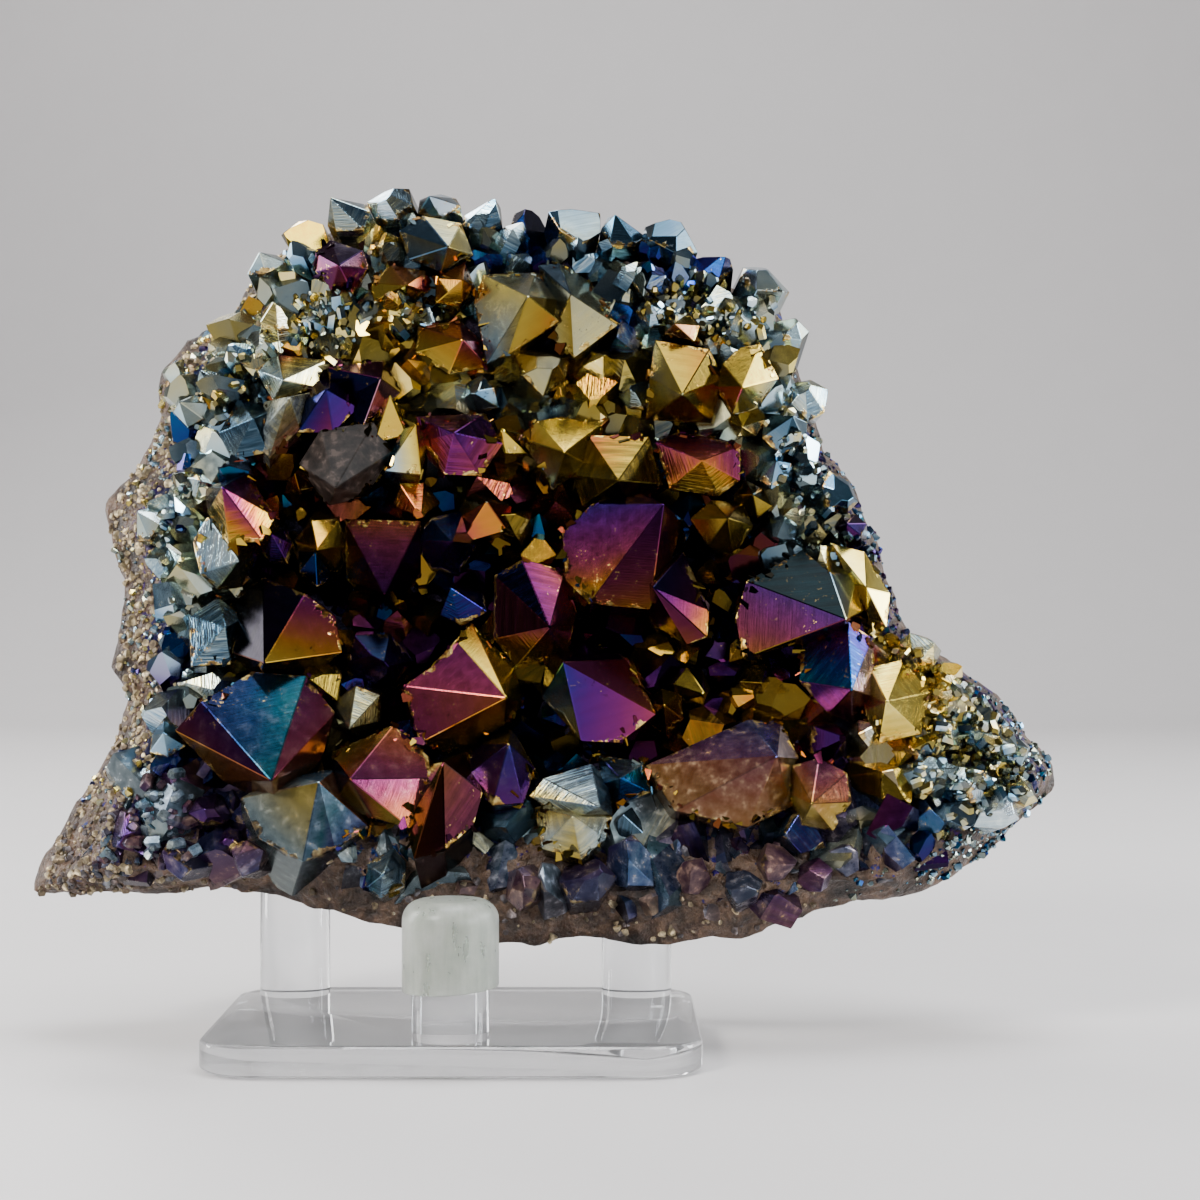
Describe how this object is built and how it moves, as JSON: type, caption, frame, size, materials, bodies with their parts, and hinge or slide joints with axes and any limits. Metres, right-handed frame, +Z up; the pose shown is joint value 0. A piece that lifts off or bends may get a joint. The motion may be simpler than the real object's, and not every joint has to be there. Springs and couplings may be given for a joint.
{
  "type": "aura quartz cluster on a stand",
  "caption": "Shard of crystal geode with metal-coated quartz points, resting on a clear plate with round pegs, one of them capped.",
  "frame": {"origin": "middle of the stand plate's underside, where the stand rests on a surface", "axes": "+Z up, +X along the stone's long side, to the right as seen from the front, +Y towards the back"},
  "size_m": [0.1134, 0.0477, 0.0958],
  "materials": {
    "aura_quartz": "mirror-like metal film in violet, gold and blue on quartz, grey-brown broken stone behind",
    "clear_acrylic": "clear and polished",
    "frosted_cap": "whitish, translucent and satin"
  },
  "bodies": {
    "root": {"crystal_cluster": "aura_quartz", "stand_base": "clear_acrylic", "peg_back_left": "clear_acrylic", "peg_back_right": "clear_acrylic", "peg_front": "clear_acrylic", "peg_cap": "frosted_cap"}
  },
  "joints": []
}
